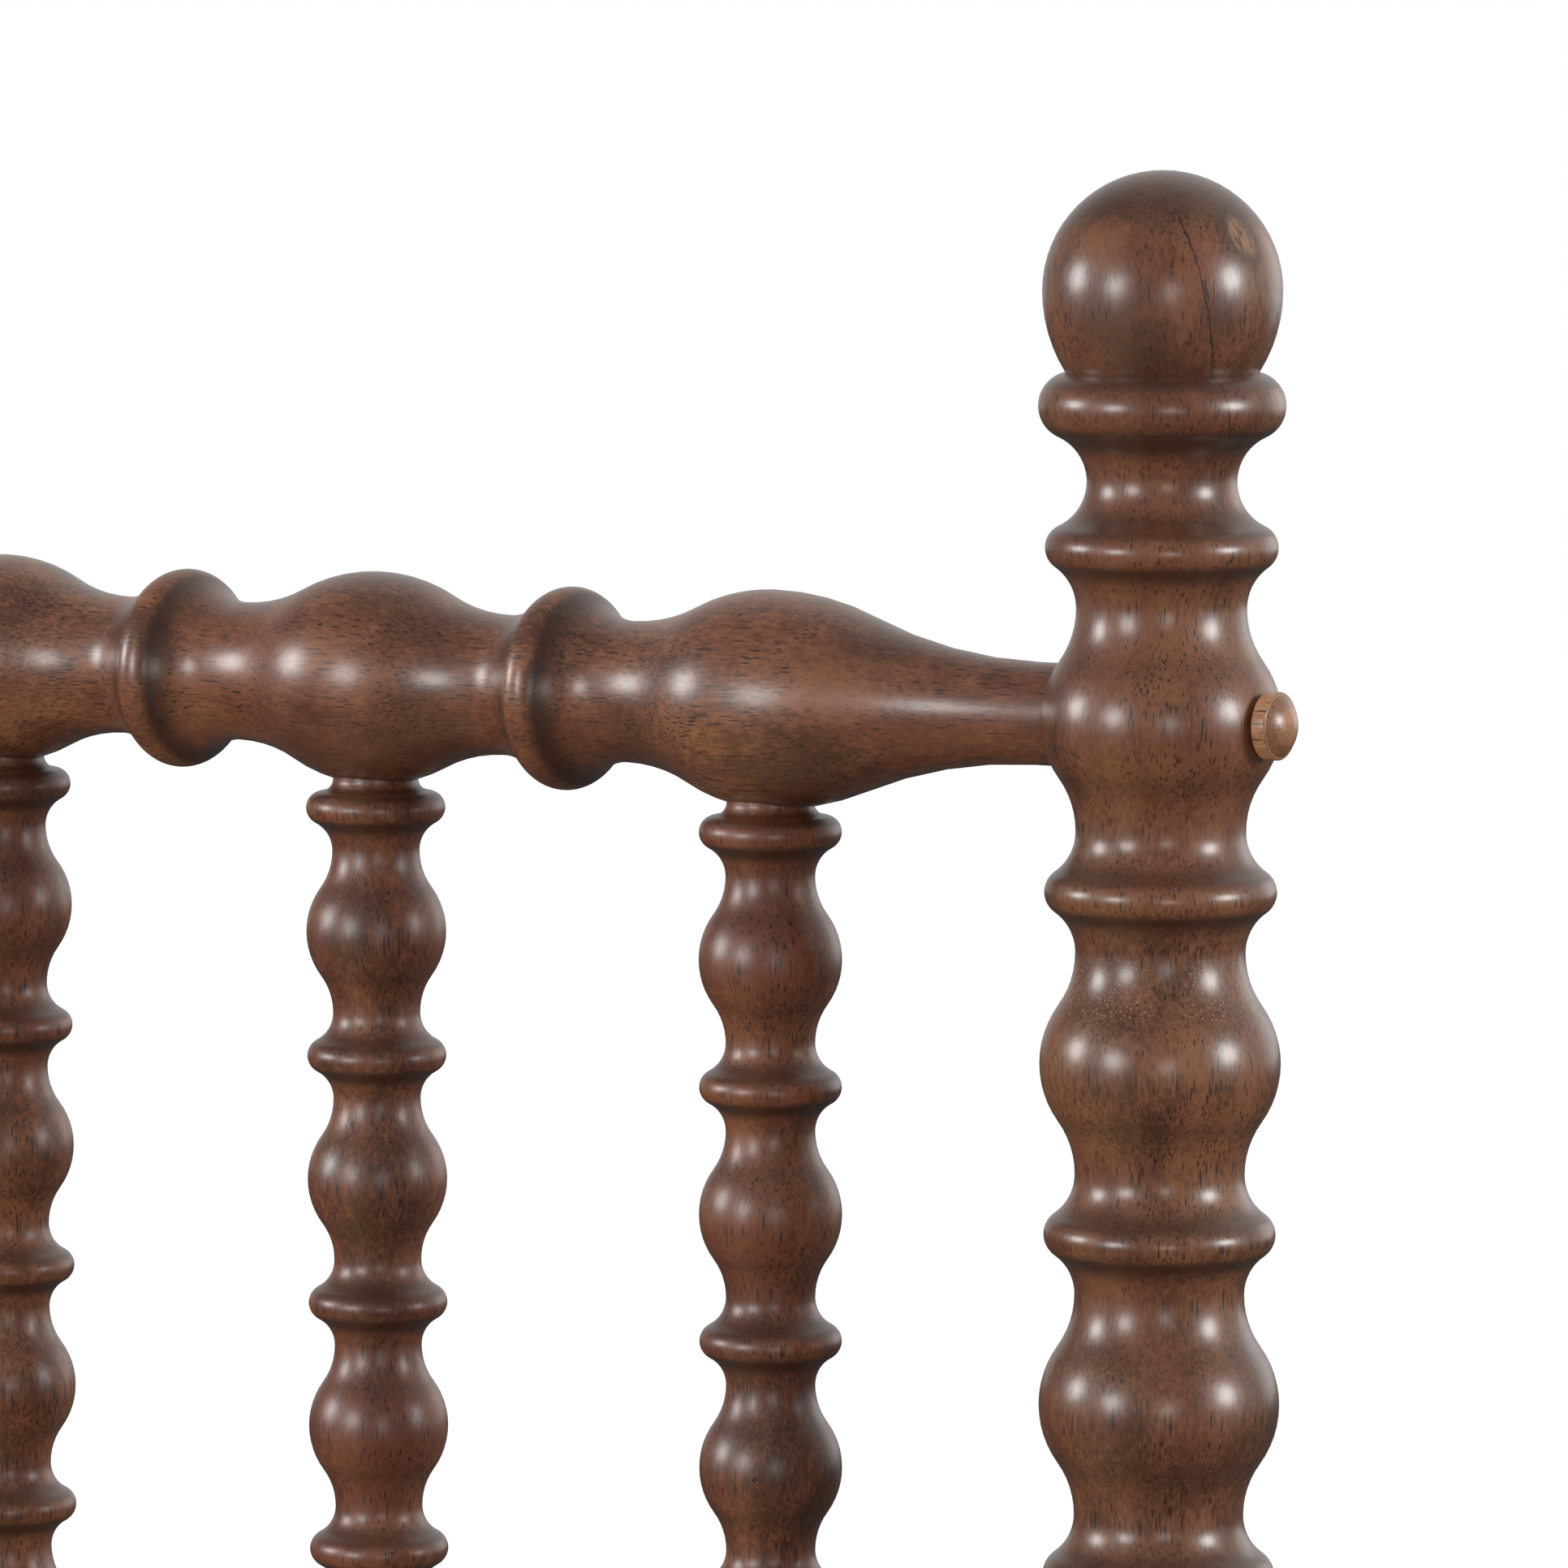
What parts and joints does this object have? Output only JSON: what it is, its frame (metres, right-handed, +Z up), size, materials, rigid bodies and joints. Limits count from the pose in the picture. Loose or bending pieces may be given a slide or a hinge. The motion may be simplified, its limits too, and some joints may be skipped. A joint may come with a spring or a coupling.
{
  "type": "spindle bed",
  "caption": "Turned wooden spindle bed frame: ball-topped posts, bulbous top rails over rows of spindles, flat side rails and a slatted base for a twin mattress.",
  "frame": {"origin": "on the floor, midway between the four posts", "axes": "+Z up, +Y towards the headboard, +X to the right seen from the foot of the bed"},
  "size_m": [1.1192, 2.0497, 1.1913],
  "materials": {
    "walnut_wood": "walnut stain under semi-gloss lacquer",
    "cap_wood": "lighter walnut stain under semi-gloss lacquer",
    "slat_wood": "planed, unfinished",
    "dowel_wood": "fluted, unfinished",
    "zinc_steel": "zinc plated",
    "black_plastic": "matt moulded"
  },
  "bodies": {
    "bed_frame": {"barrel_nuts": "zinc_steel", "beam_brackets": "zinc_steel", "bracket_screws": "zinc_steel", "cap_plugs": "cap_wood", "center_beam": "slat_wood", "center_leg_front": "slat_wood", "center_leg_rear": "slat_wood", "dowels": "dowel_wood", "footboard_lower_rail": "walnut_wood", "footboard_post_left": "walnut_wood", "footboard_post_right": "walnut_wood", "footboard_spindle_1": "walnut_wood", "footboard_spindle_2": "walnut_wood", "footboard_spindle_3": "walnut_wood", "footboard_spindle_4": "walnut_wood", "footboard_spindle_5": "walnut_wood", "footboard_spindle_6": "walnut_wood", "footboard_spindle_7": "walnut_wood", "footboard_top_rail": "walnut_wood", "headboard_lower_rail": "walnut_wood", "headboard_post_left": "walnut_wood", "headboard_post_right": "walnut_wood", "headboard_spindle_1": "walnut_wood", "headboard_spindle_2": "walnut_wood", "headboard_spindle_3": "walnut_wood", "headboard_spindle_4": "walnut_wood", "headboard_spindle_5": "walnut_wood", "headboard_spindle_6": "walnut_wood", "headboard_spindle_7": "walnut_wood", "headboard_top_rail": "walnut_wood", "ledger_screws": "zinc_steel", "leg_inserts": "zinc_steel", "leg_studs": "zinc_steel", "post_glides": "black_plastic", "side_rail_bolts": "zinc_steel", "side_rail_left": "walnut_wood", "side_rail_right": "walnut_wood", "slat_01": "slat_wood", "slat_02": "slat_wood", "slat_03": "slat_wood", "slat_04": "slat_wood", "slat_05": "slat_wood", "slat_06": "slat_wood", "slat_07": "slat_wood", "slat_08": "slat_wood", "slat_09": "slat_wood", "slat_10": "slat_wood", "slat_11": "slat_wood", "slat_12": "slat_wood", "slat_13": "slat_wood", "slat_ledger_left": "slat_wood", "slat_ledger_right": "slat_wood", "slat_screws": "zinc_steel", "threaded_inserts": "zinc_steel", "top_rail_bolts": "zinc_steel"},
    "front_foot": {"leveling_foot_front": "black_plastic"},
    "rear_foot": {"leveling_foot_rear": "black_plastic"}
  },
  "joints": [
    {"name": "front_foot_height", "type": "slide", "parent": "bed_frame", "child": "front_foot", "axis": [0, 0, 1], "range_m": [-0.008, 0.01]},
    {"name": "rear_foot_height", "type": "slide", "parent": "bed_frame", "child": "rear_foot", "axis": [0, 0, 1], "range_m": [-0.008, 0.01]}
  ]
}
